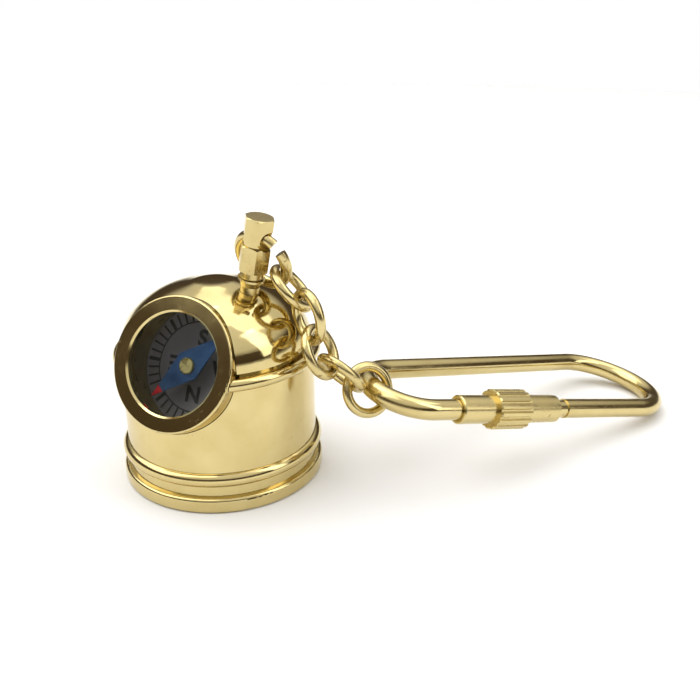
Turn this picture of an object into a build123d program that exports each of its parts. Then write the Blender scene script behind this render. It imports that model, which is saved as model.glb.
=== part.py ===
from build123d import *
import os
from math import asin, cos, pi, radians, sin, sqrt

# A key-chain compass in the form of a ship's binnacle, in turned brass. Lengths are millimetres.
# The origin is the centre of the underside, +Z is up, and the compass port faces -Y.

# Gaps between pieces that fit each other
FIT = 0.05
RUNNING_GAP = 0.06
LINK_GAP = 0.12

# Base ring: plinth, step and lower bead, turned in one piece
PLINTH_RADIUS = 12.7
PLINTH_HEIGHT = 1.95
PLINTH_EDGE = 0.45
STEP_RADIUS = 12.05
STEP_HEIGHT = 1.35
LOWER_BEAD_RADIUS = 12.65
LOWER_BEAD_HALF_HEIGHT = 0.9
BASE_WALL = 1.0
BASE_SPIGOT_HEIGHT = 1.9
BASE_PLATE_THICKNESS = 1.0
BASE_PLATE_SEAT = 1.0

# Drum, collar and dome
DRUM_RADIUS = 11.96
DRUM_WALL = 1.05
DRUM_HEIGHT = 10.43
COLLAR_BEAD_RADIUS = 12.77
COLLAR_BEAD_HALF_HEIGHT = 0.73
COLLAR_WALL = 0.9
COLLAR_GROOVE_RADIUS = 11.3
COLLAR_GROOVE_HEIGHT = 0.4
COLLAR_LOWER_SPIGOT = 1.5
COLLAR_UPPER_SPIGOT = 1.0
DOME_RADIUS = 11.66
DOME_HEIGHT = 7.6
DOME_WALL = 0.9

# Compass port: a tube that looks out of the drum and up, with the compass stacked inside it.
# Places along the port are measured from its axis point to the bezel's front.
PORT_HEIGHT = 13.1
PORT_TILT = 25.4
PORT_RADIUS = 8.0
PORT_WALL = 0.3
PORT_FRONT = 10.75
PORT_BACK = 3.0
BEZEL_THICKNESS = 0.9
BEZEL_HOLE_RADIUS = 6.05
BEZEL_CHAMFER = 0.22
BEZEL_EDGE = 0.2
WINDOW_THICKNESS = 0.8
GASKET_THICKNESS = 0.3
GASKET_WIDTH = 0.3
CUP_WALL = 0.2
CUP_FLOOR = 0.4
CUP_DEPTH = 4.4
DIAL_THICKNESS = 0.3
RETAINER_THICKNESS = 0.9
RETAINER_HOLE_RADIUS = 5.6
PIVOT_RADIUS = 0.2
PIVOT_FOOT_RADIUS = 0.55
PIVOT_FOOT_HEIGHT = 0.5
PIVOT_POINT_HEIGHT = 0.35

# Needle, which turns on the pivot
NEEDLE_HALF_LENGTH = 6.15
NEEDLE_WIDTH = 3.75
NEEDLE_THICKNESS = 0.2
NEEDLE_ABOVE_DIAL = 2.1
NEEDLE_HEADING = 225.5
CAP_RADIUS = 1.0
CAP_HEIGHT = 0.85
CAP_ABOVE_NEEDLE = 0.4

# Swivel post, beside the dome's top. Heights are along the post from the dome's surface.
POST_OFFSET = 5.0
POST_TILT = 11.5
STUD_RADIUS = 1.2
STUD_FLARE_RADIUS = 1.4
STUD_HEIGHT = 1.55
STUD_FLANGE_RADIUS = 1.65
STUD_FLANGE_THICKNESS = 0.25
STUD_DEPTH = 2.45
STUD_PIN_RADIUS = 0.8
STUD_PIN_HEIGHT = 3.05
STUD_GROOVE_RADIUS = 0.56
STUD_GROOVE_START = 1.85
STUD_GROOVE_LENGTH = 0.5
WASHER_RADIUS = 1.9
WASHER_THICKNESS = 0.25
WASHER_DROP = 1.3
NUT_ACROSS_FLATS = 3.2
NUT_HEIGHT = 0.8

# Barrel of the swivel, with two hexagons and a groove between them
BARREL_NECK_HEIGHT = 0.85
BARREL_NECK_RADIUS = 1.4
BARREL_NECK_TOP_RADIUS = 1.5
LOWER_HEX_ACROSS_CORNERS = 3.8
LOWER_HEX_HEIGHT = 3.15
UPPER_HEX_ACROSS_CORNERS = 3.7
UPPER_HEX_HEIGHT = 2.85
HEX_GROOVE_RADIUS = 1.45
HEX_GROOVE_HEIGHT = 0.6
HEX_CHAMFER = 0.3
HEX_TURN = 5.0
BORE_END_CLEARANCE = 0.15
CROSS_HOLE_RADIUS = 1.2
CROSS_HOLE_BELOW_TOP = 2.6
CROSS_HOLE_HEADING = -6.0

# Jump ring, cut open, hanging from the cross hole
JUMP_RING_RADIUS = 3.4
JUMP_RING_WIRE_RADIUS = 0.67
JUMP_RING_SWING = 22.0
JUMP_RING_OFFSET = 0.5
JUMP_RING_RISE = 0.45
JUMP_RING_GAP = 1.2
JUMP_RING_GAP_ANGLE = 43.0

# Chain links. Each one hooks over the wire of the ring before it: "around" is where on that ring,
# "lean" tips the chain out of that ring's plane, and "roll" turns the new ring. In degrees.
LINK_RADIUS = 2.85
LINK_WIRE_RADIUS = 0.61
LINK_POSES = [
    (119, -14, 52),
    (198, 0, 131),
    (144, -15, 53),
    (207, -1, 128),
    (166, 28, 84),
]

# Key ring: a wire loop, small at the chain's end and wide at the far end, closed by a screw sleeve.
# Its length is from the centre of the small bend to the centre of the wide one.
KEY_WIRE_RADIUS = 1.3
KEY_LOOP_LENGTH = 36.0
KEY_BEND_RADIUS = 5.6
KEY_END_RADIUS = 7.6
KEY_RING_POSE = (169.5, 5.5, -64.5)
KEY_SLEEVE_SIDE = 1
KEY_THREAD_RADIUS = 1.15
KEY_THREAD_SHOWN = 1.8
KEY_WIRE_GAP = 0.6
SLEEVE_START = 3.3
SLEEVE_RADIUS = 1.8
SLEEVE_LENGTH = 16.0
SLEEVE_COLLAR_RADIUS = 2.55
SLEEVE_COLLAR_LENGTH = 5.2
SLEEVE_OVERLAP = 1.9
SLEEVE_BORE_CLEARANCE = 0.3
SLEEVE_CHAMFER = 0.15
SLEEVE_COLLAR_PLACE = 5.2
KNURL_COUNT = 16
KNURL_RADIUS = 0.28


def standing(radius, height, bottom=0.0):
    """A cylinder that stands on its local Z axis from the height given as bottom."""
    body = Cylinder(radius, height, align=(Align.CENTER, Align.CENTER, Align.MIN))
    return body.moved(Location((0, 0, bottom)))


def tube(outer, inner, height, bottom=0.0):
    """A plain ring or tube on its local Z axis."""
    return standing(outer, height, bottom) - standing(inner, height, bottom)


def cone_frustum(low_radius, high_radius, height, bottom=0.0):
    """A frustum that stands on its local Z axis."""
    body = Cone(low_radius, high_radius, height, align=(Align.CENTER, Align.CENTER, Align.MIN))
    return body.moved(Location((0, 0, bottom)))


def hex_prism(across_corners, height, bottom=0.0, chamfer_low=0.0, chamfer_high=0.0):
    """A hexagonal prism whose corners are turned down at its ends, as on a nut."""
    radius = across_corners / 2
    prism = extrude(RegularPolygon(radius, 6), height)
    blank = standing(radius + FIT, height)
    if chamfer_high:
        blank = chamfer(blank.edges().sort_by(Axis.Z)[-1], chamfer_high / 2, chamfer_high)
    if chamfer_low:
        blank = chamfer(blank.edges().sort_by(Axis.Z)[0], chamfer_low / 2, chamfer_low)
    return (prism & blank).moved(Location((0, 0, bottom)))


# Heights up the body
STEP_TOP = PLINTH_HEIGHT + STEP_HEIGHT
LOWER_BEAD_HEIGHT = STEP_TOP + LOWER_BEAD_HALF_HEIGHT
DRUM_BOTTOM = LOWER_BEAD_HEIGHT + LOWER_BEAD_HALF_HEIGHT
DRUM_TOP = DRUM_BOTTOM + DRUM_HEIGHT
COLLAR_BEAD_TOP = DRUM_TOP + 2 * COLLAR_BEAD_HALF_HEIGHT
DOME_BOTTOM = COLLAR_BEAD_TOP + COLLAR_GROOVE_HEIGHT
DRUM_INNER_RADIUS = DRUM_RADIUS - DRUM_WALL
SPIGOT_RADIUS = DRUM_INNER_RADIUS - FIT

# The port's own plane: its Z axis looks out along the port, its Y axis points up the bezel
PORT_PLANE = Plane(
    origin=(0, 0, PORT_HEIGHT),
    x_dir=(1, 0, 0),
    z_dir=(0, -cos(radians(PORT_TILT)), sin(radians(PORT_TILT))),
)
PORT_INNER_RADIUS = PORT_RADIUS - PORT_WALL
STACK_RADIUS = PORT_INNER_RADIUS - FIT
BEZEL_BACK = PORT_FRONT - BEZEL_THICKNESS
WINDOW_BACK = BEZEL_BACK - WINDOW_THICKNESS
CUP_FRONT = WINDOW_BACK - GASKET_THICKNESS
CUP_BACK = CUP_FRONT - CUP_DEPTH
CUP_FLOOR_FRONT = CUP_BACK + CUP_FLOOR
DIAL_FRONT = CUP_FLOOR_FRONT + DIAL_THICKNESS
NEEDLE_BACK = DIAL_FRONT + NEEDLE_ABOVE_DIAL
NEEDLE_FRONT = NEEDLE_BACK + NEEDLE_THICKNESS
CAP_FRONT = NEEDLE_FRONT + CAP_ABOVE_NEEDLE
CAP_BACK = CAP_FRONT - CAP_HEIGHT

# The post's plane stands on the dome
POST_FOOT_HEIGHT = DOME_BOTTOM + DOME_HEIGHT * sqrt(1 - (POST_OFFSET / DOME_RADIUS) ** 2)
POST_PLANE = Plane(
    origin=(POST_OFFSET, 0, POST_FOOT_HEIGHT),
    x_dir=(cos(radians(POST_TILT)), 0, -sin(radians(POST_TILT))),
    z_dir=(sin(radians(POST_TILT)), 0, cos(radians(POST_TILT))),
)
FLANGE_TOP = STUD_HEIGHT + STUD_FLANGE_THICKNESS
BARREL_BOTTOM = FLANGE_TOP + RUNNING_GAP
LOWER_HEX_BOTTOM = BARREL_BOTTOM + BARREL_NECK_HEIGHT
HEX_GROOVE_BOTTOM = LOWER_HEX_BOTTOM + LOWER_HEX_HEIGHT
UPPER_HEX_BOTTOM = HEX_GROOVE_BOTTOM + HEX_GROOVE_HEIGHT
BARREL_TOP = UPPER_HEX_BOTTOM + UPPER_HEX_HEIGHT
CROSS_HOLE_HEIGHT = BARREL_TOP - CROSS_HOLE_BELOW_TOP


def base_ring():
    """Plinth, step and lower bead, with a spigot that the drum sits over."""
    plinth = standing(PLINTH_RADIUS, PLINTH_HEIGHT)
    plinth = fillet(plinth.edges().filter_by(GeomType.CIRCLE), PLINTH_EDGE)
    bead_line = LOWER_BEAD_RADIUS - LOWER_BEAD_HALF_HEIGHT
    bead = Torus(bead_line, LOWER_BEAD_HALF_HEIGHT).moved(Location((0, 0, LOWER_BEAD_HEIGHT)))
    step = standing(STEP_RADIUS, STEP_HEIGHT, PLINTH_HEIGHT)
    core = standing(bead_line, DRUM_BOTTOM - STEP_TOP, STEP_TOP)
    spigot = standing(SPIGOT_RADIUS, BASE_SPIGOT_HEIGHT, DRUM_BOTTOM)
    bore = standing(SPIGOT_RADIUS - BASE_WALL, DRUM_BOTTOM + BASE_SPIGOT_HEIGHT)
    plate_seat = standing(SPIGOT_RADIUS + FIT, BASE_PLATE_SEAT)
    return plinth + step + core + bead + spigot - bore - plate_seat


def base_plate():
    """Disc pressed up into the underside of the base ring."""
    return standing(SPIGOT_RADIUS, BASE_PLATE_THICKNESS, BASE_PLATE_SEAT - BASE_PLATE_THICKNESS)


def port_cutter():
    """The hole that the port tube needs through the drum, the collar and the dome."""
    hole = standing(PORT_RADIUS + FIT, 2 * PORT_FRONT)
    return PORT_PLANE.location * hole


def drum_tube():
    """Straight wall of the drum."""
    wall = tube(DRUM_RADIUS, DRUM_INNER_RADIUS, DRUM_HEIGHT, DRUM_BOTTOM)
    return wall - port_cutter()


def dome_inner_radius(height):
    """Inside radius of the dome at a height above its rim."""
    inner_radius = DOME_RADIUS - DOME_WALL
    inner_height = DOME_HEIGHT - DOME_WALL
    return inner_radius * sqrt(1 - (height / inner_height) ** 2)


def collar_bead():
    """Bead that joins the drum to the dome, with a spigot into each and a groove under the dome."""
    bead_line = COLLAR_BEAD_RADIUS - COLLAR_BEAD_HALF_HEIGHT
    middle = DRUM_TOP + COLLAR_BEAD_HALF_HEIGHT
    upper_radius = dome_inner_radius(COLLAR_UPPER_SPIGOT) - FIT
    bead = Torus(bead_line, COLLAR_BEAD_HALF_HEIGHT).moved(Location((0, 0, middle)))
    core = standing(bead_line, COLLAR_BEAD_TOP - DRUM_TOP, DRUM_TOP)
    groove = standing(COLLAR_GROOVE_RADIUS, COLLAR_GROOVE_HEIGHT, COLLAR_BEAD_TOP)
    lower = standing(SPIGOT_RADIUS, COLLAR_LOWER_SPIGOT, DRUM_TOP - COLLAR_LOWER_SPIGOT)
    upper = standing(upper_radius, COLLAR_UPPER_SPIGOT, DOME_BOTTOM)
    bore_radius = upper_radius - COLLAR_WALL
    bore_length = DOME_BOTTOM + COLLAR_UPPER_SPIGOT
    return bead + core + groove + lower + upper - standing(bore_radius, bore_length) - port_cutter()


def half_dome(radius, height):
    """A solid half ellipsoid on the height of the dome's rim."""
    angles = [radians(angle) for angle in range(0, 91, 15)]
    points = [(radius * cos(angle), height * sin(angle)) for angle in angles]
    arc = Spline(*points, tangents=[(0, 1), (-1, 0)])
    outline = arc + Line((0, height), (0, 0)) + Line((0, 0), (radius, 0))
    profile = Plane.XZ * make_face(outline)
    return revolve(profile, Axis.Z).moved(Location((0, 0, DOME_BOTTOM)))


def dome_cap():
    """Spun dome with the port's opening and the stud's hole."""
    shell = half_dome(DOME_RADIUS, DOME_HEIGHT)
    shell -= half_dome(DOME_RADIUS - DOME_WALL, DOME_HEIGHT - DOME_WALL)
    stud_hole = standing(STUD_RADIUS + FIT, 2 * STUD_DEPTH, -STUD_DEPTH)
    return shell - port_cutter() - POST_PLANE.location * stud_hole


def port_tube():
    """Tube that carries the whole compass."""
    body = tube(PORT_RADIUS, PORT_INNER_RADIUS, BEZEL_BACK - PORT_BACK, PORT_BACK)
    return PORT_PLANE.location * body


def bezel_ring():
    """Flat ring round the window, polished on its face and bevelled at its hole."""
    ring = tube(PORT_RADIUS, BEZEL_HOLE_RADIUS, BEZEL_THICKNESS, BEZEL_BACK)
    front = ring.edges().group_by(Axis.Z)[-1].sort_by(SortBy.RADIUS)
    ring = chamfer(front[0], BEZEL_CHAMFER)
    front = ring.edges().group_by(Axis.Z)[-1].sort_by(SortBy.RADIUS)
    ring = fillet(front[-1], BEZEL_EDGE)
    return PORT_PLANE.location * ring


def window_glass():
    """Flat glass behind the bezel."""
    return PORT_PLANE.location * standing(STACK_RADIUS, WINDOW_THICKNESS, WINDOW_BACK)


def glass_gasket():
    """Thin ring between the glass and the compass cup."""
    ring = tube(STACK_RADIUS, STACK_RADIUS - GASKET_WIDTH, GASKET_THICKNESS, CUP_FRONT)
    return PORT_PLANE.location * ring


def capsule_cup():
    """Shallow cup that the dial lies in, with a hole for the pivot."""
    cup = standing(STACK_RADIUS, CUP_DEPTH, CUP_BACK)
    cup -= standing(STACK_RADIUS - CUP_WALL, CUP_DEPTH, CUP_FLOOR_FRONT)
    cup -= standing(PIVOT_RADIUS + FIT, CUP_FLOOR, CUP_BACK)
    return PORT_PLANE.location * cup


def dial_card():
    """Dial disc on the floor of the cup."""
    card = standing(STACK_RADIUS - CUP_WALL - FIT, DIAL_THICKNESS, CUP_FLOOR_FRONT)
    card -= standing(PIVOT_RADIUS + FIT, DIAL_THICKNESS, CUP_FLOOR_FRONT)
    return PORT_PLANE.location * card


def pivot_pin():
    """Pointed steel pin with a foot that stands on the dial."""
    tip = CAP_FRONT - RUNNING_GAP * 5
    shank_top = tip - PIVOT_POINT_HEIGHT
    pin = standing(PIVOT_RADIUS, shank_top - CUP_BACK, CUP_BACK)
    pin += standing(PIVOT_FOOT_RADIUS, PIVOT_FOOT_HEIGHT, DIAL_FRONT)
    pin += cone_frustum(PIVOT_RADIUS, PIVOT_RADIUS / 4, PIVOT_POINT_HEIGHT, shank_top)
    return PORT_PLANE.location * pin


def retaining_ring():
    """Ring that holds the cup in the port tube from behind."""
    bottom = CUP_BACK - RETAINER_THICKNESS
    ring = tube(STACK_RADIUS, RETAINER_HOLE_RADIUS, RETAINER_THICKNESS, bottom)
    return PORT_PLANE.location * ring


def compass_needle():
    """Lozenge needle with a round hole for its cap."""
    half_width = NEEDLE_WIDTH / 2
    corners = [(NEEDLE_HALF_LENGTH, 0), (0, half_width), (-NEEDLE_HALF_LENGTH, 0), (0, -half_width)]
    blade = extrude(make_face(Polyline(*corners, close=True)), NEEDLE_THICKNESS)
    blade = blade.moved(Location((0, 0, NEEDLE_BACK), (0, 0, NEEDLE_HEADING)))
    blade -= standing(CAP_RADIUS - GASKET_WIDTH, NEEDLE_THICKNESS, NEEDLE_BACK)
    return PORT_PLANE.location * blade


def needle_cap():
    """Domed hub, riveted through the needle, with a blind seat for the pin."""
    stem_radius = CAP_RADIUS - GASKET_WIDTH
    head = standing(CAP_RADIUS, CAP_FRONT - NEEDLE_FRONT, NEEDLE_FRONT)
    head = fillet(head.edges().filter_by(GeomType.CIRCLE).sort_by(Axis.Z)[-1], 0.3)
    stem = standing(stem_radius, NEEDLE_FRONT - CAP_BACK, CAP_BACK)
    seat_top = CAP_FRONT - RUNNING_GAP * 4
    seat = standing(PIVOT_RADIUS + RUNNING_GAP, seat_top - CAP_BACK, CAP_BACK)
    return PORT_PLANE.location * (head + stem - seat)


def swivel_stud():
    """Fixed foot of the post, with a grooved pin that holds the barrel."""
    stud = standing(STUD_RADIUS, STUD_DEPTH + STUD_HEIGHT / 2, -STUD_DEPTH)
    flare_bottom = STUD_HEIGHT / 2
    stud += cone_frustum(STUD_RADIUS, STUD_FLARE_RADIUS, STUD_HEIGHT - flare_bottom, flare_bottom)
    stud += standing(STUD_FLANGE_RADIUS, STUD_FLANGE_THICKNESS, STUD_HEIGHT)
    stud += standing(STUD_PIN_RADIUS, STUD_PIN_HEIGHT, FLANGE_TOP)
    groove_bottom = FLANGE_TOP + STUD_GROOVE_START
    stud -= tube(STUD_RADIUS, STUD_GROOVE_RADIUS, STUD_GROOVE_LENGTH, groove_bottom)
    return POST_PLANE.location * stud


def stud_washer():
    """Washer under the dome."""
    ring = tube(WASHER_RADIUS, STUD_RADIUS + FIT, WASHER_THICKNESS, -WASHER_DROP - WASHER_THICKNESS)
    return POST_PLANE.location * ring


def stud_nut():
    """Thin nut that clamps the stud from inside."""
    across_corners = NUT_ACROSS_FLATS / cos(pi / 6)
    bottom = -WASHER_DROP - WASHER_THICKNESS - NUT_HEIGHT
    nut = hex_prism(across_corners, NUT_HEIGHT, bottom)
    nut -= standing(STUD_RADIUS + FIT / 2, NUT_HEIGHT, bottom)
    return POST_PLANE.location * nut


def cross_hole_direction():
    """Direction of the barrel's cross hole, square to the post."""
    angle = radians(CROSS_HOLE_HEADING)
    return POST_PLANE.x_dir * cos(angle) + POST_PLANE.y_dir * sin(angle)


def swivel_barrel():
    """Barrel that turns on the stud and holds the jump ring in its cross hole."""
    turn = Location((0, 0, 0), (0, 0, HEX_TURN))
    body = cone_frustum(BARREL_NECK_RADIUS, BARREL_NECK_TOP_RADIUS, BARREL_NECK_HEIGHT, BARREL_BOTTOM)
    lower = hex_prism(
        LOWER_HEX_ACROSS_CORNERS, LOWER_HEX_HEIGHT, LOWER_HEX_BOTTOM, HEX_CHAMFER, HEX_CHAMFER
    )
    upper = hex_prism(UPPER_HEX_ACROSS_CORNERS, UPPER_HEX_HEIGHT, UPPER_HEX_BOTTOM, 0, HEX_CHAMFER)
    body += lower.moved(turn)
    body += standing(HEX_GROOVE_RADIUS, HEX_GROOVE_HEIGHT, HEX_GROOVE_BOTTOM)
    body += upper.moved(turn)
    lip_bottom = FLANGE_TOP + STUD_GROOVE_START + RUNNING_GAP
    lip_top = lip_bottom + STUD_GROOVE_LENGTH - 2 * RUNNING_GAP
    bore_top = FLANGE_TOP + STUD_PIN_HEIGHT + BORE_END_CLEARANCE
    bore_radius = STUD_PIN_RADIUS + RUNNING_GAP
    body -= standing(bore_radius, lip_bottom - BARREL_BOTTOM, BARREL_BOTTOM)
    body -= standing(STUD_GROOVE_RADIUS + RUNNING_GAP, lip_top - lip_bottom, lip_bottom)
    body -= standing(bore_radius, bore_top - lip_top, lip_top)
    hole = Cylinder(CROSS_HOLE_RADIUS, 2 * LOWER_HEX_ACROSS_CORNERS, rotation=(0, 90, 0))
    body -= hole.moved(Location((0, 0, CROSS_HOLE_HEIGHT), (0, 0, CROSS_HOLE_HEADING)))
    return POST_PLANE.location * body


def jump_ring_plane():
    """Plane of the jump ring: X points from its centre to the cross hole, Y runs along the hole."""
    along = cross_hole_direction()
    back = POST_PLANE.z_dir.cross(along)
    swing = radians(JUMP_RING_SWING)
    hang = back * sin(swing) - POST_PLANE.z_dir * cos(swing)
    hole_centre = POST_PLANE.origin + POST_PLANE.z_dir * CROSS_HOLE_HEIGHT
    drop = hang * (JUMP_RING_RADIUS - JUMP_RING_RISE)
    return Plane(
        origin=hole_centre + drop + along * JUMP_RING_OFFSET,
        x_dir=hang * -1,
        z_dir=(hang * -1).cross(along),
    )


def hook(parent, parent_radius, spacing, radius, pose):
    """Plane of a ring that hangs on the wire of another. X points at the wire it hangs from."""
    around, lean, roll = [radians(angle) for angle in pose]
    outward = parent.x_dir * cos(around) + parent.y_dir * sin(around)
    along = parent.y_dir * cos(around) - parent.x_dir * sin(around)
    away = outward * cos(lean) + parent.z_dir * sin(lean)
    wire = along * cos(roll) + away.cross(along) * sin(roll)
    centre = parent.origin + outward * parent_radius + away * (radius - spacing)
    return Plane(origin=centre, x_dir=away * -1, z_dir=(away * -1).cross(wire))


def chain_planes():
    """Planes of the links, each hooked to the one before it."""
    planes = []
    parent = jump_ring_plane()
    parent_radius = JUMP_RING_RADIUS
    spacing = JUMP_RING_WIRE_RADIUS + LINK_WIRE_RADIUS + LINK_GAP
    for pose in LINK_POSES:
        parent = hook(parent, parent_radius, spacing, LINK_RADIUS, pose)
        parent_radius = LINK_RADIUS
        spacing = 2 * LINK_WIRE_RADIUS + LINK_GAP
        planes.append(parent)
    return planes


def key_ring_plane():
    """Plane of the key ring: the origin is the centre of its small bend, X points at link 5's wire."""
    spacing = LINK_WIRE_RADIUS + KEY_WIRE_RADIUS + LINK_GAP
    return hook(chain_planes()[-1], LINK_RADIUS, spacing, KEY_BEND_RADIUS, KEY_RING_POSE)


def jump_ring():
    """Round wire ring, cut open beside the cross hole."""
    gap_angle = JUMP_RING_GAP / JUMP_RING_RADIUS * 180 / pi
    start = JUMP_RING_GAP_ANGLE + gap_angle / 2
    path = CenterArc((0, 0), JUMP_RING_RADIUS, start, 360 - gap_angle)
    section = Plane(origin=path @ 0, z_dir=path % 0) * Circle(JUMP_RING_WIRE_RADIUS)
    return jump_ring_plane().location * sweep(section, path=path)


def chain_link(plane):
    """Closed round link."""
    return plane.location * Torus(LINK_RADIUS, LINK_WIRE_RADIUS)


def key_loop_tangents(side):
    """Ends of one straight side of the key ring, at the small bend and at the wide one."""
    slope = asin((KEY_END_RADIUS - KEY_BEND_RADIUS) / KEY_LOOP_LENGTH)
    small = Vector(KEY_BEND_RADIUS * sin(slope), side * KEY_BEND_RADIUS * cos(slope))
    wide = Vector(KEY_END_RADIUS * sin(slope) - KEY_LOOP_LENGTH, side * KEY_END_RADIUS * cos(slope))
    return small, wide


def sleeve_plane():
    """Plane at the sleeve's small-bend end. Z runs along the wire to the wide bend."""
    small, wide = key_loop_tangents(KEY_SLEEVE_SIDE)
    along = (wide - small).normalized()
    start = small + along * SLEEVE_START
    return Plane(origin=start, x_dir=(0, 0, 1), z_dir=along)


def key_ring_wire():
    """Bent wire loop with a plain end and a threaded end, which meet inside the sleeve."""
    near_small, near_wide = key_loop_tangents(KEY_SLEEVE_SIDE)
    far_small, far_wide = key_loop_tangents(-KEY_SLEEVE_SIDE)
    sleeve = sleeve_plane()
    plain_end = sleeve.origin + sleeve.z_dir * SLEEVE_OVERLAP
    shoulder = sleeve.origin + sleeve.z_dir * (SLEEVE_LENGTH + KEY_THREAD_SHOWN)
    wide_end = Vector(-KEY_LOOP_LENGTH - KEY_END_RADIUS, 0)
    small_end = Vector(KEY_BEND_RADIUS, 0)
    path = (
        Line(plain_end, near_small)
        + ThreePointArc(near_small, small_end, far_small)
        + Line(far_small, far_wide)
        + ThreePointArc(far_wide, wide_end, near_wide)
        + Line(near_wide, shoulder)
    )
    section = Plane(origin=plain_end, z_dir=sleeve.z_dir * -1) * Circle(KEY_WIRE_RADIUS)
    thread_start = SLEEVE_OVERLAP + KEY_WIRE_GAP
    thread_length = SLEEVE_LENGTH + KEY_THREAD_SHOWN - thread_start
    thread = sleeve.location * standing(KEY_THREAD_RADIUS, thread_length, thread_start)
    return key_ring_plane().location * (sweep(section, path=path) + thread)


def lock_sleeve():
    """Screw sleeve with a straight-knurled collar round its middle."""
    body = standing(SLEEVE_RADIUS, SLEEVE_LENGTH)
    body = chamfer(body.edges().filter_by(GeomType.CIRCLE), SLEEVE_CHAMFER)
    collar = standing(SLEEVE_COLLAR_RADIUS, SLEEVE_COLLAR_LENGTH)
    collar = chamfer(collar.edges().filter_by(GeomType.CIRCLE), SLEEVE_CHAMFER)
    for number in range(KNURL_COUNT):
        groove = standing(KNURL_RADIUS, SLEEVE_COLLAR_LENGTH)
        turn = Location((0, 0, 0), (0, 0, 360 * number / KNURL_COUNT))
        collar -= turn * groove.moved(Location((SLEEVE_COLLAR_RADIUS, 0, 0)))
    body += collar.moved(Location((0, 0, SLEEVE_COLLAR_PLACE)))
    plain_bore = SLEEVE_OVERLAP + SLEEVE_BORE_CLEARANCE
    body -= standing(KEY_WIRE_RADIUS + RUNNING_GAP, plain_bore)
    body -= standing(KEY_THREAD_RADIUS + RUNNING_GAP, SLEEVE_LENGTH)
    return (key_ring_plane().location * sleeve_plane().location) * body


def main():
    """Write every piece to its own STEP file."""
    pieces = {
        "base_ring": base_ring(),
        "base_plate": base_plate(),
        "drum_tube": drum_tube(),
        "collar_bead": collar_bead(),
        "dome_cap": dome_cap(),
        "port_tube": port_tube(),
        "bezel_ring": bezel_ring(),
        "window_glass": window_glass(),
        "glass_gasket": glass_gasket(),
        "capsule_cup": capsule_cup(),
        "dial_card": dial_card(),
        "pivot_pin": pivot_pin(),
        "retaining_ring": retaining_ring(),
        "compass_needle": compass_needle(),
        "needle_cap": needle_cap(),
        "swivel_stud": swivel_stud(),
        "stud_washer": stud_washer(),
        "stud_nut": stud_nut(),
        "swivel_barrel": swivel_barrel(),
        "jump_ring": jump_ring(),
        "key_ring_wire": key_ring_wire(),
        "lock_sleeve": lock_sleeve(),
    }
    for number, plane in enumerate(chain_planes(), start=1):
        pieces[f"chain_link_{number}"] = chain_link(plane)
    os.makedirs("parts", exist_ok=True)
    for name, piece in pieces.items():
        export_step(piece, f"parts/{name}.step")


if __name__ == "__main__":
    main()
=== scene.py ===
import math

import bmesh
import bpy
from mathutils import Matrix, Vector


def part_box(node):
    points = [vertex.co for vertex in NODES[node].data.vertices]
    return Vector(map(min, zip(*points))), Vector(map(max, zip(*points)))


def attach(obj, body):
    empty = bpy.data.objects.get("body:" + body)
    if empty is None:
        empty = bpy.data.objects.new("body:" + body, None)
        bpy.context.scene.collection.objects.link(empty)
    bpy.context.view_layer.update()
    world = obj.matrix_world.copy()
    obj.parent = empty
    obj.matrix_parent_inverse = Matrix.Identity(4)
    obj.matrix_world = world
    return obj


bl_info = {
    "name": "Key-chain ship compass",
    "version": (1, 0, 0),
    "blender": (4, 5, 0),
    "location": "3D View > Sidebar > Compass",
    "description": "Brass, glass, dial print and stage for a key-chain ship compass",
    "category": "Object",
}

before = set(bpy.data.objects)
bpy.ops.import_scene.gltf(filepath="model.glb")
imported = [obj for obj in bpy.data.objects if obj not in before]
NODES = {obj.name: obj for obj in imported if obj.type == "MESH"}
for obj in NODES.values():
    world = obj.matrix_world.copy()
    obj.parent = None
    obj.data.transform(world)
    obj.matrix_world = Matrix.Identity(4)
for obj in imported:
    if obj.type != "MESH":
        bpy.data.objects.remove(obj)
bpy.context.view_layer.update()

MM = 0.001
UP = Vector((0, 0, 1))
PORT_ORIGIN = Vector((0, 0, 13.1)) * MM
PORT_TILT = math.radians(25.4)
PORT_RIGHT = Vector((1, 0, 0))
PORT_UP = Vector((0, math.sin(PORT_TILT), math.cos(PORT_TILT)))
PORT_OUT = Vector((0, -math.cos(PORT_TILT), math.sin(PORT_TILT)))
POST_FOOT = Vector((5, 0, 22.3)) * MM
POST_AXIS = Vector((0.1994, 0, 0.9799))
SLEEVE_AXIS = (0.5781, 0.7834, -0.2281)
# Places along the port, the needle's length and the print are in mm.
CARD_FRONT = 5.05
INK_BACK, INK_FRONT = 0.01, 0.03
CIRCLE_WIDTH = 0.16
TICK_HALF, BOLD_TICK_HALF = 0.12, 0.22
TICK_START_GAP = 0.1
LETTER_WEIGHT = 0.09
CAPITAL_SHARE = 0.7
LACQUER_LENGTH = 1.7
LACQUER_EDGE = 0.1
NEEDLE_HEADING = math.radians(225.5)
NEEDLE_HALF = 6.15


def linear(code):
    """The linear colour of an sRGB hex value, with full alpha."""
    parts = [int(code[i : i + 2], 16) / 255 for i in (1, 3, 5)]
    parts = [p / 12.92 if p <= 0.04045 else ((p + 0.055) / 1.055) ** 2.4 for p in parts]
    return (*parts, 1.0)


def add_node(tree, kind, settings=None, values=None, links=None):
    """Adds a node with its settings, its socket values and its incoming links."""
    made = tree.nodes.new(kind)
    for name, value in (settings or {}).items():
        setattr(made, name, value)
    for name, value in (values or {}).items():
        made.inputs[name].default_value = value
    for name, socket in (links or {}).items():
        tree.links.new(socket, made.inputs[name])
    return made


def new_material(name):
    made = bpy.data.materials.new(name)
    made.use_nodes = True
    made.node_tree.nodes.clear()
    return made, made.node_tree


def close_material(tree, shader):
    add_node(tree, "ShaderNodeOutputMaterial", links={"Surface": shader.outputs[0]})


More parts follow.
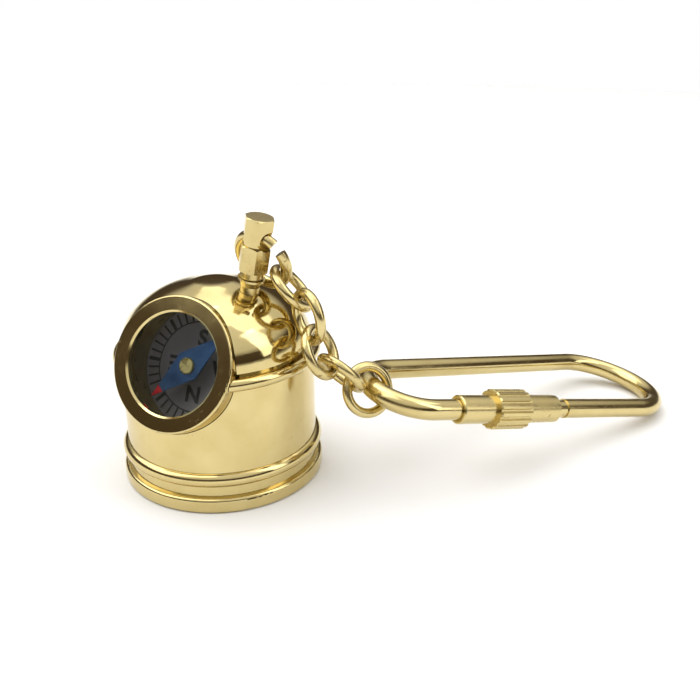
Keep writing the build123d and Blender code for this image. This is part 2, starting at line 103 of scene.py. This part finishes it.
def dress(material, *names):
    """Gives a CAD node its finish."""
    for name in names:
        node = NODES[name]
        if not node.material_slots:
            node.data.materials.append(material)
        for place in node.material_slots:
            place.material = material


def round_the_axis(tree, coordinates, origin, axis):
    """(radius, height) about a turning axis, so a pattern runs in rings as a lathe leaves it."""
    placed = add_node(
        tree,
        "ShaderNodeVectorMath",
        {"operation": "SUBTRACT"},
        {1: origin},
        {0: coordinates},
    )
    height = add_node(
        tree,
        "ShaderNodeVectorMath",
        {"operation": "DOT_PRODUCT"},
        {1: axis},
        {0: placed.outputs[0]},
    )
    axial = add_node(
        tree,
        "ShaderNodeVectorMath",
        {"operation": "SCALE"},
        {0: axis},
        {"Scale": height.outputs["Value"]},
    )
    across = add_node(
        tree,
        "ShaderNodeVectorMath",
        {"operation": "SUBTRACT"},
        links={0: placed.outputs[0], 1: axial.outputs[0]},
    )
    radius = add_node(
        tree,
        "ShaderNodeVectorMath",
        {"operation": "LENGTH"},
        links={0: across.outputs[0]},
    )
    track = add_node(
        tree,
        "ShaderNodeCombineXYZ",
        links={"X": radius.outputs["Value"], "Y": height.outputs["Value"]},
    )
    return track.outputs[0]


def brass(name, finish, polish, rings=None, line=0.3, depth=0.6, tarnish=0.67):
    """Polished brass. rings is the (origin, axis) of its turning lines. line is their spacing and depth
    their height, in mm and thousandths of a mm. tarnish is where the dark spots start, from 0 to 1."""
    made, tree = new_material(name)
    place = add_node(tree, "ShaderNodeTexCoord").outputs["Object"]
    # clouds of handling about 5 mm wide, where the polish has dulled
    cloud = add_node(
        tree,
        "ShaderNodeTexNoise",
        values={"Scale": 1 / (5 * MM), "Detail": 4, "Roughness": 0.6},
        links={"Vector": place},
    )
    # brown tarnish specks about 0.9 mm apart
    speck = add_node(
        tree,
        "ShaderNodeTexNoise",
        values={"Scale": 1 / (0.9 * MM), "Detail": 5, "Roughness": 0.65, "Distortion": 0.6},
        links={"Vector": place},
    )
    tone = add_node(
        tree,
        "ShaderNodeMix",
        {"data_type": "RGBA"},
        {"A": (*finish.pale, 1), "B": (*finish.deep, 1)},
        {"Factor": cloud.outputs["Fac"]},
    )
    stain = add_node(
        tree,
        "ShaderNodeMapRange",
        {"interpolation_type": "SMOOTHSTEP"},
        {"From Min": tarnish, "From Max": tarnish + 0.12, "To Max": 0.7},
        {"Value": speck.outputs["Fac"]},
    )
    colour = add_node(
        tree,
        "ShaderNodeMix",
        {"data_type": "RGBA"},
        {"B": (*finish.tarnish, 1)},
        {"Factor": stain.outputs[0], "A": tone.outputs["Result"]},
    )
    dull = add_node(
        tree,
        "ShaderNodeMapRange",
        values={
            "From Min": 0.35,
            "From Max": 0.7,
            "To Min": polish,
            "To Max": polish * 2.2,
        },
        links={"Value": cloud.outputs["Fac"]},
    )
    rough = add_node(
        tree,
        "ShaderNodeMath",
        {"operation": "MULTIPLY_ADD"},
        {1: 0.25},
        {0: stain.outputs[0], 2: dull.outputs[0]},
    )
    # the buffing wheel leaves low waves about 1.6 mm long
    wave = add_node(
        tree,
        "ShaderNodeTexNoise",
        values={"Scale": 1 / (1.6 * MM), "Detail": 2},
        links={"Vector": place},
    )
    relief = add_node(
        tree,
        "ShaderNodeBump",
        values={"Strength": 0.6, "Distance": 0.004 * MM},
        links={"Height": wave.outputs["Fac"]},
    )
    if rings:
        track = round_the_axis(tree, place, *rings)
        cut = add_node(
            tree,
            "ShaderNodeTexNoise",
            values={"Scale": 1 / (line * MM), "Detail": 3, "Roughness": 0.7},
            links={"Vector": track},
        )
        relief = add_node(
            tree,
            "ShaderNodeBump",
            values={"Strength": 1.0, "Distance": depth * MM * MM},
            links={"Height": cut.outputs["Fac"], "Normal": relief.outputs[0]},
        )
    shader = add_node(
        tree,
        "ShaderNodeBsdfPrincipled",
        values={"Metallic": 1.0},
        links={
            "Base Color": colour.outputs["Result"],
            "Roughness": rough.outputs[0],
            "Normal": relief.outputs[0],
        },
    )
    close_material(tree, shader)
    return made


class BrassSettings(bpy.types.PropertyGroup):
    pale: bpy.props.FloatVectorProperty(
        name="Pale brass",
        description="Freshly polished brass",
        size=3,
        subtype="COLOR",
        default=linear("#dfcf98")[:3],
    )
    deep: bpy.props.FloatVectorProperty(
        name="Deep brass",
        description="Brass where the polish has warmed and dulled",
        size=3,
        subtype="COLOR",
        default=linear("#c4ae72")[:3],
    )
    tarnish: bpy.props.FloatVectorProperty(
        name="Tarnish",
        description="Brown specks in corners and on worn faces",
        size=3,
        subtype="COLOR",
        default=linear("#6b5226")[:3],
    )
    polish: bpy.props.FloatProperty(
        name="Polish",
        description="Roughness of the best polished faces",
        default=0.09,
        min=0.0,
        max=1.0,
        subtype="FACTOR",
    )


class DialSettings(bpy.types.PropertyGroup):
    circle: bpy.props.FloatProperty(
        name="Circle radius",
        description="Printed circle that the ticks stand on, mm",
        default=5.5,
        min=3,
        max=7,
    )
    tick_end: bpy.props.FloatProperty(
        name="Tick end",
        description="Radius where the ticks end, mm",
        default=7.1,
        min=5,
        max=7.2,
    )
    ticks: bpy.props.IntProperty(
        name="Ticks", description="Ticks round the dial", default=40, min=8, max=72
    )
    letter: bpy.props.FloatProperty(
        name="Letter height",
        description="Height of the four letters, mm",
        default=1.9,
        min=1,
        max=3,
    )
    letter_radius: bpy.props.FloatProperty(
        name="Letter radius",
        description="Radius of the letters' centres, mm",
        default=3.45,
        min=2,
        max=5,
    )
    ink: bpy.props.FloatVectorProperty(
        name="Ink",
        description="Printing ink",
        size=3,
        subtype="COLOR",
        default=linear("#1f1b20")[:3],
    )
    card: bpy.props.FloatVectorProperty(
        name="Card",
        description="Printed face of the card",
        size=3,
        subtype="COLOR",
        default=linear("#9a93a0")[:3],
    )


class StageSettings(bpy.types.PropertyGroup):
    floor: bpy.props.FloatVectorProperty(
        name="Floor",
        description="Pale paper sweep",
        size=3,
        subtype="COLOR",
        default=linear("#f4f4f4")[:3],
    )
    key: bpy.props.FloatProperty(
        name="Key light", description="Power of the large soft light", default=3.0, unit="POWER"
    )
    fill: bpy.props.FloatProperty(
        name="Fill light", description="Power of the side light", default=0.7, unit="POWER"
    )


class COMPASS_OT_drum(bpy.types.Operator):
    """Turned brass for the plinth, the drum and the bead under the dome"""

    bl_idname = "compass.drum"
    bl_label = "Drum and plinth"

    def execute(self, context):
        finish = context.scene.compass_brass
        # Brass turned on a lathe and buffed: bright, with faint level rings that stretch each
        # highlight. The real lines are finer than 0.1 mm and are drawn 0.35 mm apart so they show.
        turned = brass(
            "brass_turned_and_buffed", finish, finish.polish, ((0, 0, 0), UP), 0.35, 0.5
        )
        dress(turned, "base_ring", "drum_tube", "collar_bead")
        # The same brass left as sawn and faced, duller, for the plate under the plinth.
        faced = brass(
            "brass_faced_underside", finish, 0.24, ((0, 0, 0), UP), 0.4, 2.0, 0.6
        )
        dress(faced, "base_plate")
        return {"FINISHED"}


class COMPASS_OT_dome(bpy.types.Operator):
    """Spun brass for the dome"""

    bl_idname = "compass.dome"
    bl_label = "Dome"

    def execute(self, context):
        finish = context.scene.compass_brass
        # Brass sheet spun over a former and buffed: a mirror with slow waves and very faint rings.
        spun = brass(
            "brass_spun_and_buffed", finish, finish.polish * 0.8, ((0, 0, 0), UP), 0.6, 0.4, 0.7
        )
        dress(spun, "dome_cap")
        return {"FINISHED"}


class COMPASS_OT_port(bpy.types.Operator):
    """Polished bezel and the brass inside the port"""

    bl_idname = "compass.port"
    bl_label = "Port and bezel"

    def execute(self, context):
        finish = context.scene.compass_brass
        rings = (tuple(PORT_ORIGIN), tuple(PORT_OUT))
        # Brass faced and polished flat, with more tarnish where fingers don't rub it: a dark mirror
        # with brown specks round its edges.
        bezel = brass("brass_faced_and_polished", finish, 0.08, rings, 0.3, 0.4, 0.58)
        dress(bezel, "bezel_ring", "port_tube")
        # Pressed brass cup, never polished: a soft, dull gold wall round the dial.
        cup = brass("brass_pressed_dull", finish, 0.28, rings, 0.4, 1.5, 0.6)
        dress(cup, "capsule_cup", "retaining_ring")
        return {"FINISHED"}


class COMPASS_OT_window(bpy.types.Operator):
    """Window glass and its rubber gasket"""

    bl_idname = "compass.window"
    bl_label = "Window and gasket"

    def execute(self, context):
        made, tree = new_material("glass_float_cut")
        # Cut float glass: clear, with a mirror sheen at a slant and faint wiping smears.
        place = add_node(tree, "ShaderNodeTexCoord").outputs["Object"]
        smear = add_node(
            tree,
            "ShaderNodeTexNoise",
            values={"Scale": 1 / (3 * MM), "Detail": 4, "Distortion": 1.2},
            links={"Vector": place},
        )
        rough = add_node(
            tree,
            "ShaderNodeMapRange",
            values={"From Min": 0.45, "From Max": 0.7, "To Min": 0.01, "To Max": 0.12},
            links={"Value": smear.outputs["Fac"]},
        )
        gloss = add_node(
            tree,
            "ShaderNodeBsdfPrincipled",
            values={"Base Color": linear("#f2f6f4"), "IOR": 1.52, "Metallic": 0.0},
            links={"Roughness": rough.outputs[0]},
        )
        clear = add_node(
            tree, "ShaderNodeBsdfTransparent", values={"Color": linear("#f5f8f6")}
        )
        slant = add_node(tree, "ShaderNodeLayerWeight", values={"Blend": 0.12})
        mixed = add_node(
            tree,
            "ShaderNodeMixShader",
            links={
                "Fac": slant.outputs["Fresnel"],
                1: clear.outputs[0],
                2: gloss.outputs[0],
            },
        )
        close_material(tree, mixed)
        dress(made, "window_glass")

        made, tree = new_material("rubber_moulded_gasket")
        # Moulded black rubber: dark and matt, with a fine 0.2 mm grain and a dusty bloom.
        place = add_node(tree, "ShaderNodeTexCoord").outputs["Object"]
        grain = add_node(
            tree,
            "ShaderNodeTexNoise",
            values={"Scale": 1 / (0.2 * MM), "Detail": 3},
            links={"Vector": place},
        )
        tone = add_node(
            tree,
            "ShaderNodeMix",
            {"data_type": "RGBA"},
            {"A": linear("#141414"), "B": linear("#2c2b29")},
            {"Factor": grain.outputs["Fac"]},
        )
        relief = add_node(
            tree,
            "ShaderNodeBump",
            values={"Strength": 0.5, "Distance": 0.01 * MM},
            links={"Height": grain.outputs["Fac"]},
        )
        shader = add_node(
            tree,
            "ShaderNodeBsdfPrincipled",
            values={"Roughness": 0.7},
            links={"Base Color": tone.outputs["Result"], "Normal": relief.outputs[0]},
        )
        close_material(tree, shader)
        dress(made, "glass_gasket")
        return {"FINISHED"}


def on_card(x, y, height):
    """A point of the dial, in mm right, up and out of the card's face."""
    return (
        PORT_ORIGIN
        + PORT_RIGHT * x * MM
        + PORT_UP * y * MM
        + PORT_OUT * (CARD_FRONT + height) * MM
    )


def printed(name, outlines, material):
    """Thin ink just proud of the card, from closed outlines of (x, y) in mm."""
    made = bmesh.new()
    for outline in outlines:
        rows = [[made.verts.new(on_card(x, y, h)) for x, y in outline] for h in (INK_BACK, INK_FRONT)]
        made.faces.new(rows[1])
        made.faces.new(rows[0][::-1])
        for i in range(len(outline)):
            j = (i + 1) % len(outline)
            made.faces.new((rows[0][i], rows[0][j], rows[1][j], rows[1][i]))
    bmesh.ops.recalc_face_normals(made, faces=made.faces)
    mesh = bpy.data.meshes.new(name)
    made.to_mesh(mesh)
    made.free()
    thing = bpy.data.objects.new(name, mesh)
    bpy.context.scene.collection.objects.link(thing)
    mesh.materials.append(material)
    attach(thing, "binnacle")
    return thing


def arc_band(radius, width, start, end, steps):
    """Outline of a band along an arc, angles in degrees."""
    turns = [math.radians(start + (end - start) * i / steps) for i in range(steps + 1)]
    inside, outside = radius - width / 2, radius + width / 2
    outer = [(outside * math.cos(t), outside * math.sin(t)) for t in turns]
    inner = [(inside * math.cos(t), inside * math.sin(t)) for t in turns]
    return outer + inner[::-1]


class COMPASS_OT_dial(bpy.types.Operator):
    """Printed card with its circle, ticks and four letters"""

    bl_idname = "compass.dial"
    bl_label = "Dial"

    def execute(self, context):
        dial = context.scene.compass_dial
        made, tree = new_material("card_printed_coated")
        # Coated paper card, printed in a grey tint: matt, with fibres about 0.25 mm long and a
        # slightly foxed, uneven tint.
        place = add_node(tree, "ShaderNodeTexCoord").outputs["Object"]
        fibre = add_node(
            tree,
            "ShaderNodeTexNoise",
            values={"Scale": 1 / (0.25 * MM), "Detail": 5, "Roughness": 0.7},
            links={"Vector": place},
        )
        foxing = add_node(
            tree,
            "ShaderNodeTexNoise",
            values={"Scale": 1 / (3.5 * MM), "Detail": 3},
            links={"Vector": place},
        )
        tint = add_node(
            tree,
            "ShaderNodeMix",
            {"data_type": "RGBA"},
            {"A": (*dial.card, 1), "B": linear("#7d7580")},
            {"Factor": foxing.outputs["Fac"]},
        )
        mottle = add_node(
            tree,
            "ShaderNodeMix",
            {"data_type": "RGBA", "blend_type": "MULTIPLY"},
            {"Factor": 0.25},
            {"A": tint.outputs["Result"], "B": fibre.outputs["Color"]},
        )
        relief = add_node(
            tree,
            "ShaderNodeBump",
            values={"Strength": 0.4, "Distance": 0.01 * MM},
            links={"Height": fibre.outputs["Fac"]},
        )
        shader = add_node(
            tree,
            "ShaderNodeBsdfPrincipled",
            values={"Roughness": 0.55},
            links={"Base Color": mottle.outputs["Result"], "Normal": relief.outputs[0]},
        )
        close_material(tree, shader)
        dress(made, "dial_card")

        ink, tree = new_material("ink_offset_print")
        # Offset printing ink: near black with a slight sheen, thin in places where it missed.
        place = add_node(tree, "ShaderNodeTexCoord").outputs["Object"]
        miss = add_node(
            tree,
            "ShaderNodeTexNoise",
            values={"Scale": 1 / (0.4 * MM), "Detail": 4},
            links={"Vector": place},
        )
        body = add_node(
            tree,
            "ShaderNodeMix",
            {"data_type": "RGBA"},
            {"A": (*dial.ink, 1), "B": linear("#3a343b")},
            {"Factor": miss.outputs["Fac"]},
        )
        shader = add_node(
            tree,
            "ShaderNodeBsdfPrincipled",
            values={"Roughness": 0.4},
            links={"Base Color": body.outputs["Result"]},
        )
        close_material(tree, shader)

        band = [arc_band(dial.circle, CIRCLE_WIDTH, a, a + 90, 24) for a in range(0, 360, 90)]
        printed("dial_circle", band, ink)
        ticks = []
        for i in range(dial.ticks):
            turn = 2 * math.pi * i / dial.ticks
            half = BOLD_TICK_HALF if i % 5 == 0 else TICK_HALF
            along, side = (math.cos(turn), math.sin(turn)), (-math.sin(turn), math.cos(turn))
            ticks.append(
                [
                    (along[0] * r + side[0] * s, along[1] * r + side[1] * s)
                    for r, s in (
                        (dial.circle + TICK_START_GAP, -half),
                        (dial.tick_end, -half),
                        (dial.tick_end, half),
                        (dial.circle + TICK_START_GAP, half),
                    )
                ]
            )
        printed("dial_ticks", ticks, ink)

        for letter, turn in (("S", 90), ("N", 270), ("W", 0), ("E", 180)):
            text = bpy.data.curves.new("letter", "FONT")
            text.body = letter
            text.size = dial.letter / CAPITAL_SHARE * MM
            text.align_x = "CENTER"
            text.align_y = "CENTER"
            text.offset = LETTER_WEIGHT * MM
            text.extrude = INK_BACK * MM
            holder = bpy.data.objects.new("letter", text)
            context.scene.collection.objects.link(holder)
            context.view_layer.update()
            mesh = bpy.data.meshes.new_from_object(holder)
            bpy.data.objects.remove(holder)
            angle = math.radians(turn)
            at = on_card(
                dial.letter_radius * math.cos(angle),
                dial.letter_radius * math.sin(angle),
                (INK_BACK + INK_FRONT) / 2,
            )
            turned = Matrix.Rotation(math.radians(180 if letter == "E" else 0), 3, "Z")
            axes = Matrix((PORT_RIGHT, PORT_UP, PORT_OUT)).transposed() @ turned
            mesh.transform(Matrix.Translation(at) @ axes.to_4x4())
            mesh.materials.clear()
            mesh.materials.append(ink)
            thing = bpy.data.objects.new("dial_letter_" + letter, mesh)
            context.scene.collection.objects.link(thing)
            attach(thing, "binnacle")
        return {"FINISHED"}


class COMPASS_OT_needle(bpy.types.Operator):
    """Blued needle with its red tip, its brass cap and the steel pin"""

    bl_idname = "compass.needle"
    bl_label = "Needle"

    def execute(self, context):
        finish = context.scene.compass_brass
        pointing = PORT_RIGHT * math.cos(NEEDLE_HEADING) + PORT_UP * math.sin(NEEDLE_HEADING)
        made, tree = new_material("steel_blued_and_lacquered")
        # Thin spring steel heated until it blues: deep to pale blue by uneven heat, rolled sheen.
        # Its north end is dipped in red lacquer, which is glossy and not metallic.
        place = add_node(tree, "ShaderNodeTexCoord").outputs["Object"]
        local = add_node(
            tree,
            "ShaderNodeVectorMath",
            {"operation": "SUBTRACT"},
            {1: tuple(PORT_ORIGIN)},
            {0: place},
        )
        along = add_node(
            tree,
            "ShaderNodeVectorMath",
            {"operation": "DOT_PRODUCT"},
            {1: tuple(pointing)},
            {0: local.outputs[0]},
        )
        heat = add_node(
            tree,
            "ShaderNodeTexNoise",
            values={"Scale": 1 / (2 * MM), "Detail": 4},
            links={"Vector": place},
        )
        blue = add_node(
            tree,
            "ShaderNodeMix",
            {"data_type": "RGBA"},
            {"A": linear("#1e3468"), "B": linear("#5f86c0")},
            {"Factor": heat.outputs["Fac"]},
        )
        tip = add_node(
            tree,
            "ShaderNodeMapRange",
            values={
                "From Min": (NEEDLE_HALF - LACQUER_LENGTH) * MM,
                "From Max": (NEEDLE_HALF - LACQUER_LENGTH + LACQUER_EDGE) * MM,
            },
            links={"Value": along.outputs["Value"]},
        )
        colour = add_node(
            tree,
            "ShaderNodeMix",
            {"data_type": "RGBA"},
            {"B": linear("#d62228")},
            {"Factor": tip.outputs[0], "A": blue.outputs["Result"]},
        )
        metal = add_node(
            tree,
            "ShaderNodeMapRange",
            values={"To Min": 0.85, "To Max": 0.0},
            links={"Value": tip.outputs[0]},
        )
        rough = add_node(
            tree,
            "ShaderNodeMapRange",
            values={"To Min": 0.22, "To Max": 0.42},
            links={"Value": heat.outputs["Fac"]},
        )
        shader = add_node(
            tree,
            "ShaderNodeBsdfPrincipled",
            links={
                "Base Color": colour.outputs["Result"],
                "Metallic": metal.outputs[0],
                "Roughness": rough.outputs[0],
            },
        )
        close_material(tree, shader)
        dress(made, "compass_needle")

        # Small turned brass cap: darker and duller than the case, as no one can polish it.
        hub = brass("brass_turned_hub", finish, 0.3, None, tarnish=0.5)
        dress(hub, "needle_cap")

        made, tree = new_material("steel_ground_pin")
        # Ground steel: grey, bright, with fine grinding lines round the pin, drawn 0.15 mm apart.
        place = add_node(tree, "ShaderNodeTexCoord").outputs["Object"]
        track = round_the_axis(tree, place, tuple(PORT_ORIGIN), tuple(PORT_OUT))
        ground = add_node(
            tree,
            "ShaderNodeTexNoise",
            values={"Scale": 1 / (0.15 * MM), "Detail": 3},
            links={"Vector": track},
        )
        tone = add_node(
            tree,
            "ShaderNodeMix",
            {"data_type": "RGBA"},
            {"A": linear("#8f9295"), "B": linear("#c3c6c8")},
            {"Factor": ground.outputs["Fac"]},
        )
        shader = add_node(
            tree,
            "ShaderNodeBsdfPrincipled",
            values={"Metallic": 1.0, "Roughness": 0.25},
            links={"Base Color": tone.outputs["Result"]},
        )
        close_material(tree, shader)
        dress(made, "pivot_pin")
        return {"FINISHED"}


class COMPASS_OT_post(bpy.types.Operator):
    """Turned brass for the swivel post and its fixings"""

    bl_idname = "compass.post"
    bl_label = "Swivel post"

    def execute(self, context):
        finish = context.scene.compass_brass
        rings = (tuple(POST_FOOT), tuple(POST_AXIS))
        # Drawn hexagon bar turned down: flats with a drawn sheen and crisp rings in the grooves.
        turned = brass("brass_drawn_hexagon", finish, 0.14, rings, 0.25, 1.2, 0.6)
        dress(turned, "swivel_stud", "swivel_barrel")
        # Plain brass fixings inside the dome: dull, as they come from the bar.
        plain = brass("brass_bar_unpolished", finish, 0.3, rings, 0.3, 1.5, 0.58)
        dress(plain, "stud_washer", "stud_nut")
        return {"FINISHED"}


class COMPASS_OT_chain(bpy.types.Operator):
    """Drawn brass wire for the jump ring and the links"""

    bl_idname = "compass.chain"
    bl_label = "Chain"

    def execute(self, context):
        finish = context.scene.compass_brass
        # Drawn wire wound, cut and barrel-tumbled: soft gloss with small dents and brown specks.
        wire = brass("brass_wire_tumbled", finish, 0.16, None, tarnish=0.6)
        dress(wire, "jump_ring", *[f"chain_link_{i}" for i in range(1, 6)])
        return {"FINISHED"}


class COMPASS_OT_key_ring(bpy.types.Operator):
    """Drawn brass for the key ring and turned brass for its knurled sleeve"""

    bl_idname = "compass.key_ring"
    bl_label = "Key ring"

    def execute(self, context):
        finish = context.scene.compass_brass
        # Thick drawn wire bent over pegs and polished: a long smooth highlight with slow waves.
        rod = brass("brass_rod_bent_and_polished", finish, 0.12, None, tarnish=0.68)
        dress(rod, "key_ring_wire")
        # Turned and knurled brass: rings on its ends and a satin look on the knurl's ridges.
        low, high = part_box("lock_sleeve")
        rings = (tuple((low + high) / 2), SLEEVE_AXIS)
        sleeve = brass("brass_turned_and_knurled", finish, 0.16, rings, 0.25, 1.0, 0.62)
        dress(sleeve, "lock_sleeve")
        return {"FINISHED"}


def soft_light(name, place, target, size, power, tint="#ffffff"):
    """A rectangular soft light at a place in metres that faces a target."""
    lamp = bpy.data.lights.new(name, "AREA")
    lamp.shape = "RECTANGLE"
    lamp.size, lamp.size_y = size
    lamp.energy = power
    lamp.color = linear(tint)[:3]
    holder = bpy.data.objects.new(name, lamp)
    holder.location = place
    holder.rotation_euler = (Vector(target) - Vector(place)).to_track_quat("-Z", "Y").to_euler()
    holder.visible_camera = False
    bpy.context.scene.collection.objects.link(holder)
    return holder


class COMPASS_OT_stage(bpy.types.Operator):
    """Pale floor, soft lights, surroundings and camera"""

    bl_idname = "compass.stage"
    bl_label = "Stage"

    def execute(self, context):
        stage = context.scene.compass_stage
        made = bmesh.new()
        bmesh.ops.create_circle(made, cap_ends=True, segments=96, radius=0.5)
        mesh = bpy.data.meshes.new("floor")
        made.to_mesh(mesh)
        made.free()
        floor = bpy.data.objects.new("floor", mesh)
        context.scene.collection.objects.link(floor)
        paper, tree = new_material("paper_matt_sweep")
        # Matt white background paper with a barely visible tooth.
        place = add_node(tree, "ShaderNodeTexCoord").outputs["Object"]
        tooth = add_node(
            tree,
            "ShaderNodeTexNoise",
            values={"Scale": 1 / (0.5 * MM), "Detail": 2},
            links={"Vector": place},
        )
        relief = add_node(
            tree,
            "ShaderNodeBump",
            values={"Strength": 0.1, "Distance": 0.01 * MM},
            links={"Height": tooth.outputs["Fac"]},
        )
        shader = add_node(
            tree,
            "ShaderNodeBsdfPrincipled",
            values={"Base Color": (*stage.floor, 1), "Roughness": 0.85},
            links={"Normal": relief.outputs[0]},
        )
        close_material(tree, shader)
        mesh.materials.append(paper)

        soft_light("light_key", (-0.35, -0.15, 0.60), (0, 0, 0.01), (0.8, 0.8), stage.key)
        soft_light("light_fill", (0.50, 0.05, 0.35), (0.01, 0, 0.01), (0.2, 0.6), stage.fill)
        soft_light("light_top", (0.02, 0.25, 0.65), (0.02, 0.02, 0), (0.9, 0.5), stage.key * 0.5)

        world = bpy.data.worlds.new("soft_studio")
        world.use_nodes = True
        tree = world.node_tree
        tree.nodes.clear()
        around = add_node(tree, "ShaderNodeTexCoord").outputs["Generated"]
        parts = add_node(tree, "ShaderNodeSeparateXYZ", links={0: around})
        height = add_node(
            tree,
            "ShaderNodeMapRange",
            values={"From Min": -1, "From Max": 1},
            links={"Value": parts.outputs["Z"]},
        )
        ramp = add_node(tree, "ShaderNodeValToRGB", links={"Fac": height.outputs[0]})
        bands = ramp.color_ramp
        bands.elements[0].position = 0.0
        bands.elements[0].color = linear("#cfc9bd")
        bands.elements[1].position = 1.0
        bands.elements[1].color = linear("#ffffff")
        for where, shade in ((0.5, "#b8b4ae"), (0.53, "#4a4036"), (0.68, "#54483c"), (0.76, "#e6e4e0")):
            bands.elements.new(where).color = linear(shade)
        sky = add_node(
            tree,
            "ShaderNodeBackground",
            values={"Strength": 1.0},
            links={"Color": ramp.outputs["Color"]},
        )
        plain = add_node(
            tree,
            "ShaderNodeBackground",
            values={"Color": linear("#ffffff"), "Strength": 1.0},
        )
        seen = add_node(tree, "ShaderNodeLightPath")
        both = add_node(
            tree,
            "ShaderNodeMixShader",
            links={"Fac": seen.outputs["Is Camera Ray"], 1: sky.outputs[0], 2: plain.outputs[0]},
        )
        add_node(tree, "ShaderNodeOutputWorld", links={"Surface": both.outputs[0]})
        context.scene.world = world

        lens = bpy.data.cameras.new("camera")
        lens.lens = 43.71
        lens.sensor_width = 36
        lens.clip_start = 0.002
        camera = bpy.data.objects.new("camera", lens)
        right = Vector((0.9068, 0.4216, -0.0013))
        up = Vector((-0.1625, 0.3524, 0.9216))
        back = Vector((0.389, -0.8355, 0.388))
        turn = Matrix((right, up, back)).transposed().to_4x4()
        camera.matrix_world = Matrix.Translation(Vector((56.15, -81.70, 56.89)) * MM) @ turn
        context.scene.collection.objects.link(camera)
        context.scene.camera = camera
        context.scene.view_settings.view_transform = "Standard"
        return {"FINISHED"}


PIECES = (
    COMPASS_OT_drum,
    COMPASS_OT_dome,
    COMPASS_OT_port,
    COMPASS_OT_window,
    COMPASS_OT_dial,
    COMPASS_OT_needle,
    COMPASS_OT_post,
    COMPASS_OT_chain,
    COMPASS_OT_key_ring,
    COMPASS_OT_stage,
)


class COMPASS_PT_panel(bpy.types.Panel):
    """Sidebar list of the compass's sizes, colours and pieces"""

    bl_idname = "COMPASS_PT_panel"
    bl_label = "Ship compass"
    bl_space_type = "VIEW_3D"
    bl_region_type = "UI"
    bl_category = "Compass"

    def draw(self, context):
        for group in ("compass_brass", "compass_dial", "compass_stage"):
            settings = getattr(context.scene, group)
            for name in settings.__annotations__:
                self.layout.prop(settings, name)
        for piece in PIECES:
            self.layout.operator(piece.bl_idname)


CLASSES = (BrassSettings, DialSettings, StageSettings, *PIECES, COMPASS_PT_panel)


def register():
    for kind in CLASSES:
        bpy.utils.register_class(kind)
    bpy.types.Scene.compass_brass = bpy.props.PointerProperty(type=BrassSettings)
    bpy.types.Scene.compass_dial = bpy.props.PointerProperty(type=DialSettings)
    bpy.types.Scene.compass_stage = bpy.props.PointerProperty(type=StageSettings)


def unregister():
    del bpy.types.Scene.compass_stage
    del bpy.types.Scene.compass_dial
    del bpy.types.Scene.compass_brass
    for kind in reversed(CLASSES):
        bpy.utils.unregister_class(kind)


def plain(box):
    return [[float(v) for v in corner] for corner in box]


def main():
    register()
    bpy.ops.compass.drum()
    bpy.ops.compass.dome()
    bpy.ops.compass.port()
    bpy.ops.compass.window()
    bpy.ops.compass.dial()
    bpy.ops.compass.needle()
    bpy.ops.compass.post()
    bpy.ops.compass.chain()
    bpy.ops.compass.key_ring()
    bpy.ops.compass.stage()


if __name__ == "__main__":
    main()
